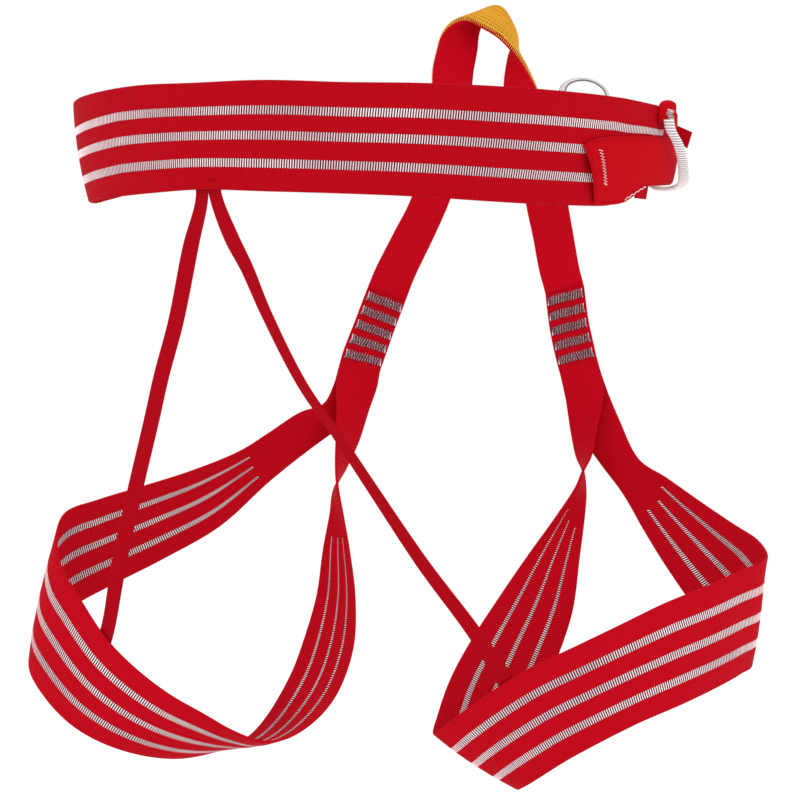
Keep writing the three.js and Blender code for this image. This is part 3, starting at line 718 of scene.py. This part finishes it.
front_loop = sweep("front_gear_loop_tape", on_front_loop, loop_t, front_section, pale_tape, 5.8)
finish_piece(front_loop, None, ["front_gear_loop"])
# the tube's two folded edges: their roundness is real, their grey is painted shade
fold_lines = [on_front_loop(loop_t, v_edge, 0 * loop_t) for v_edge in (-0.62, 0.62)]
front_edge = threads("front_gear_loop_edge", fold_lines, 0.45, fold_shade_grey, 8)
finish_piece(front_edge, None)
for piece in (front_loop, front_edge):
    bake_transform(piece)
folded_tab("front_loop_tab_cloth", (126, 139), (4, 17.5), (3.4, 5.0), 0.3, "front_loop_tab")

# ------------------------------------------------------------------ legs
LEFT_STRAP = [
    ((20, 103, -6.3), (40, 102, -6.3)), ((17, 102, -12), (37, 101, -12.5)),
    ((8, 98.5, -30), (29, 98.5, -31)), ((-1, 94, -48), (19, 94, -52)),
    ((-5, 91, -58), (14, 91, -65)), ((-11, 88, -74), (8, 88, -81)),
    ((-17, 85.3, -90), (3, 85.3, -95)),
]
RIGHT_STRAP = [
    ((93.5, 78.5, -6.3), (73, 89, -6.3)), ((95, 79, -13), (74.5, 87.5, -14)),
    ((98, 78, -32), (78, 83, -33)), ((101, 77.5, -49), (81, 79.5, -50)),
    ((103, 77, -57), (84, 77, -62)), ((105, 74, -74), (86, 74, -79)),
    ((108, 71.3, -88), (89, 71.3, -93)),
]
LEFT_BAND = [
    ((-5, 93, -58), (14, 93, -65)), ((-11, 90, -74), (8, 90, -81)),
    ((-18, 87, -93), (2, 87, -98)), ((-22, 84, -107), (-4, 85, -112)),
    ((-27, 78, -116), (-13, 83, -124)), ((-38, 72, -120), (-23, 80, -131)),
    ((-53, 63, -130), (-38, 76, -142)), ((-67, 52, -139), (-54, 70, -155)),
    ((-89, 39, -148), (-77, 60, -176)), ((-111, 26, -155), (-105, 48, -192)),
    ((-131, 13, -161), (-127, 34, -203)), ((-146, 1, -167), (-145, 18, -213)),
    ((-148.5, -10, -179), (-159, 2, -227)), ((-145, -20, -191), (-161, -12, -239)),
    ((-136, -30, -204), (-153, -22, -251)), ((-122, -39, -223), (-140, -29, -263)),
    ((-108, -45, -236), (-126, -31, -271)), ((-93, -48, -247), (-109, -28, -277)),
    ((-78, -46, -256), (-91, -18, -280)), ((-64, -40, -265), (-74, -5, -278)),
    ((-50, -29, -271), (-61, 9, -274)), ((-35, -15, -268), (-52, 21, -265)),
    ((-20, 0, -255), (-41, 32, -246)), ((-11, 14, -233), (-35, 40, -230)),
    ((-10, 27, -210), (-29, 47, -209)), ((-13, 39, -187), (-26, 54, -187)),
    ((-16, 47, -172), (-23, 62, -171)), ((-19, 54, -157), (-21, 73, -158)),
    ((-20, 59, -146), (-15, 77, -147)), ((-20, 65, -133), (-9, 81, -134)),
    ((-20, 72, -118), (-4, 81, -119)), ((-20, 78.5, -105), (0, 80, -108)),
    ((-18, 83, -93), (2, 83, -98)), ((-11, 86, -74), (8, 86, -81)),
    ((-5, 89, -58), (14, 89, -65)),
]
RIGHT_BAND = [
    ((103, 79, -57), (84, 79, -62)), ((105, 76, -74), (86, 76, -79)),
    ((108, 73, -89), (89, 73, -94)), ((113, 70, -106), (94, 71, -112)),
    ((120, 66, -124), (100, 68, -130)), ((129, 60, -143), (110, 65, -145)),
    ((142, 52, -152), (121, 61, -160)), ((157, 41, -163), (131, 55, -178)),
    ((171, 28, -173), (141, 47, -195)), ((181, 13, -180), (153, 37, -213)),
    ((184, 0, -186), (166, 24, -230)), ((180, -13, -189), (177, 6, -239)),
    ((167, -26, -193), (170, -10, -242)), ((151, -38, -199), (156, -27, -247)),
    ((131, -48, -206), (139, -41, -253)), ((111, -54, -215), (120, -49, -260)),
    ((90, -55, -225), (103, -52, -268)), ((70, -51, -235), (87, -50, -277)),
    ((52, -44, -247), (74, -45, -286)), ((37, -34, -259), (68, -36, -291)),
    ((27, -21, -268), (66, -22, -293)), ((29, -8, -261), (69, -6, -283)),
    ((35, 5, -246), (76, 9, -262)), ((45, 18, -229), (86, 24, -240)),
    ((59, 31, -209), (95, 37, -216)), ((75, 41, -187), (99, 47, -191)),
    ((88, 46, -170), (102, 56, -171)), ((97, 47, -157), (103, 64, -159)),
    ((101, 48, -148), (102, 68, -149)), ((105, 53, -141), (99, 70, -142)),
    ((108, 59, -128), (96, 69, -129)), ((112, 65, -110), (93, 67, -112)),
    ((108, 69, -89), (89, 69, -94)), ((105, 72, -74), (86, 72, -79)),
    ((103, 75, -57), (84, 75, -62)),
]
LEGS = {
    "left": {
        "strap": LEFT_STRAP, "band": LEFT_BAND, "side": 1, "crown": 2.2,
        "anchor": (171.8, 163.0),
        "stripes": {0.5: (6.9, 25.4), 0.0: (7.0, 25.4), -0.5: (7.05, 25.4)},
        "stripe_width": ((7, 0.045), (9, 0.07), (11, 0.078), (19, 0.074), (22, 0.045), (25, 0.03)),
        "riser": {"angle": -34.7, "foot": 14.9, "twist": 0,
                  "path": [(-81, -77, -46), (-88, -71.5, -79), (-95, -64.5, -103),
                           (-100, -58.5, -123), (-108, -50.5, -154), (-116, -42.5, -187)]},
    },
    "right": {
        "strap": RIGHT_STRAP, "band": RIGHT_BAND, "side": -1, "crown": 1.6,
        "anchor": (137.3, 148.0),
        "stripes": {0.5: (6.2, 26.3), 0.0: (6.5, 25.9), -0.5: (6.6, 25.7)},
        "stripe_width": ((6.2, 0.04), (9, 0.068), (11, 0.078), (19, 0.078), (22, 0.06), (26, 0.03)),
        "riser": {"angle": -31.5, "foot": 17.6, "twist": 54,
                  "path": [(-63, -80, -42), (-56, -79, -56), (-48, -76.5, -75), (-32, -70.5, -107),
                           (-17, -66.5, -129), (0, -61.5, -155), (22, -56, -188),
                           (45, -50.5, -219)]},
    },
}
HINGES = {"left": (0.030, 0.1025), "right": (0.08325, 0.08375)}
TACK_COUNT = 5
TACK_FIRST = 3.6  # from the upper end of the stitched layer to the first bartack
TACK_PITCH = 7.6
TACK_SPAN = (-0.93, 0.84)  # across the band
TACK_LAYERS = ((2.1, 0.036, 0.2), (2.05, 0.062, 0.62))  # reach, step across and lift of a zigzag


def smooth_step(x, low, high):
    x = np.clip((x - low) / (high - low), 0, 1)
    return x * x * (3 - 2 * x)


def turned(vector, axis, degrees):
    """The vector turned about a unit axis."""
    angle = math.radians(degrees)
    return (vector * math.cos(angle) + np.cross(axis, vector) * math.sin(angle)
            + axis * np.dot(axis, vector) * (1 - math.cos(angle)))


def make_leg(name, leg):
    """One leg loop: band, stripes, strap, bartacks and riser."""
    body = f"leg_{name}"
    side = leg["side"]
    last = len(leg["band"]) - 1

    def crown(t):
        u = t / last
        return leg["crown"] * smooth_step(u, 0.12, 0.3) * (1 - smooth_step(u, 0.7, 0.82))

    on_band = strip(leg["band"], side, crown)
    t = np.linspace(0, last, 420)
    band = sweep(f"leg_band_cloth_{name}", on_band, t, webbing_section(BAND_HALF, BAND_WIDTH, 12),
                 red_band, BAND_WIDTH)
    finish_piece(band, body, [f"leg_band_{name}"])
    for v_centre, ends in leg["stripes"].items():
        label = {0.5: "upper", 0.0: "middle", -0.5: "lower"}[v_centre]
        for face, face_name in ((1, "outer"), (-1, "inner")):
            stripe = ladder(f"leg_stripe_{name}_{label}_{face_name}", on_band, ends, v_centre,
                            BAND_HALF, face, stripe_materials,
                            lambda t: np.interp(t, *zip(*leg["stripe_width"])))
            for piece in stripe:
                finish_piece(piece, body)

    # the strap and its sewn upper end are one webbing that bends below the belt
    anchor_lift = WEB_LIFT - STRAP_HALF - GAP - STRAP_HALF
    sewn = [(on_waist(leg["anchor"][0], z, anchor_lift), on_waist(leg["anchor"][1], z, anchor_lift))
            for z in (15.5, 8, 0)]
    stations = sewn + leg["strap"][1:]
    strap_t = np.linspace(0, len(stations) - 1, 120)
    strap = sweep(f"leg_webbing_{name}", strip(stations, -side), strap_t,
                  webbing_section(STRAP_HALF, STRAP_WIDTH, 8), red_strap, STRAP_WIDTH)
    finish_piece(strap, None, [f"leg_strap_{name}", f"strap_anchor_{name}"])
    x, y = HINGES[name]
    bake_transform(strap)

    # bartacks on the topmost layer, counted down from its upper end
    fine_t = np.linspace(last, last - 4, 800)
    travelled = arc_length(on_band, fine_t)

    def down_band(distance, v, lift):
        return on_band(np.interp(distance, travelled, fine_t), v, lift)

    for number in range(TACK_COUNT):
        middle = TACK_FIRST + TACK_PITCH * number
        layers = []
        for reach, pitch, lift in TACK_LAYERS:
            layers.append(zigzag(down_band, middle - reach, middle + reach, TACK_SPAN, pitch,
                                 BAND_HALF + lift, 0.2))
        # the lower layer is real thread, coloured darker as painted shade between the top strokes
        ground = threads(f"leg_bartack_ground_{name}_{number + 1}", [layers[0]], 0.42, bartack_gap_shade)
        finish_piece(ground, body)
        thread = threads(f"leg_bartack_thread_{name}_{number + 1}", [layers[1]], 0.27, grey_thread)
        finish_piece(thread, body, [f"leg_bartack_{name}_{number + 1}"])

    # the stitched end of the strap inside the front webbing
    low_angle, high_angle = sorted(leg["anchor"])
    count = 22
    angle = np.linspace(low_angle + 1, high_angle - 1, count)
    height = np.where(np.arange(count) % 2, 5, 9)
    path = on_waist(angle, height, anchor_lift - STRAP_HALF - 0.25 + 0 * angle)
    tack = threads(f"strap_bartack_thread_{name}", [path], 0.28, grey_thread)
    finish_piece(tack, "belt", [f"strap_bartack_{name}"])
    make_riser(name, leg["riser"], leg)


def make_riser(name, riser, leg):
    """Elastic from inside the belt's back, down a bowed path, to inside the rear of the band."""
    half = RISER_WIDTH / 2
    on_band = strip(leg["band"], leg["side"])
    belt_lift = -(BELT_HALF + 2 * GAP + RISER_HALF)
    turn = half / RING_MM_PER_DEGREE
    angles = (riser["angle"] + turn, riser["angle"] - turn)
    stations = [tuple(on_waist(angle, z, belt_lift) for angle in angles) for z in (-12, -24)]
    path = np.array(riser["path"], float)
    for k, middle in enumerate(path):
        along = unit(path[min(k + 1, len(path) - 1)] - path[max(k - 1, 0)])
        across = unit(np.cross([0, 1, 0], along)) * -half
        bow = math.sin(math.pi * (k + 1) / (len(path) + 1))
        across = turned(across, along, riser["twist"] * bow)
        stations.append((middle + across, middle - across))
    band_lift = -(BAND_HALF + 2 * GAP + RISER_HALF)
    shift = 0.18 * leg["side"]
    for v in (1, 0.5):
        stations.append((on_band(riser["foot"] + shift, v, band_lift),
                         on_band(riser["foot"] - shift, v, band_lift)))
    t = np.linspace(0, len(stations) - 1, 200)
    obj = sweep(f"riser_elastic_{name}", strip(stations), t,
                webbing_section(RISER_HALF, RISER_WIDTH, 5), red_elastic, RISER_WIDTH)
    finish_piece(obj, None, [f"riser_{name}"])
    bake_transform(obj)


for leg_name, leg_facts in LEGS.items():
    make_leg(leg_name, leg_facts)

# ------------------------------------------------------------------ camera, lights and floor
SENSOR_WIDTH = 36
CAMERA_DISTANCE = 1.3
VIEW_WIDTH = 0.376  # what the camera takes in at the ring's centre
camera_data = bpy.data.cameras.new("camera")
camera_data.sensor_width = SENSOR_WIDTH
camera_data.lens = SENSOR_WIDTH * CAMERA_DISTANCE / VIEW_WIDTH
camera = bpy.data.objects.new("camera", camera_data)
camera.location = (0.0115, -CAMERA_DISTANCE, -0.114)
camera.rotation_euler = (math.radians(90), 0, 0)
bpy.context.collection.objects.link(camera)
scene = bpy.context.scene
scene.camera = camera


def soft_light(name, place, target, size, power):
    data = bpy.data.lights.new(name, "AREA")
    data.shape = "DISK"
    data.size = size
    data.energy = power
    light = bpy.data.objects.new(name, data)
    bpy.context.collection.objects.link(light)
    light.location = place
    aim = np.array(target, float) - np.array(place, float)
    x, y, z = unit(aim)
    light.rotation_euler = (math.acos(-z), 0, math.atan2(y, x) - math.pi / 2)
    return light


soft_light("left", (-1.4, -1.1, 0.5), (0, 0, -0.1), 1.0, 6)
soft_light("right", (1.4, -1.1, 0.4), (0, 0, -0.1), 1.0, 6)
soft_light("top", (0.1, 0.3, 1.6), (0, 0, -0.1), 1.4, 4)

world = bpy.data.worlds.new("studio")
world.use_nodes = True
world.node_tree.nodes["Background"].inputs["Color"].default_value = (1, 1, 1, 1)
world.node_tree.nodes["Background"].inputs["Strength"].default_value = 1.0
scene.world = world
scene.view_settings.view_transform = "Standard"

floor_material = plain("pale_floor", (1, 1, 1, 1), 1.0, specular=0.0)
FLOOR_HEIGHT = -360
FLOOR_REACH = 6000
floor_points = [(x * FLOOR_REACH, y * FLOOR_REACH, FLOOR_HEIGHT)
                for x, y in ((-1, -1), (1, -1), (1, 1), (-1, 1))]
floor = make_mesh("floor", floor_points, [(0, 1, 2, 3)], floor_material, smooth=False)
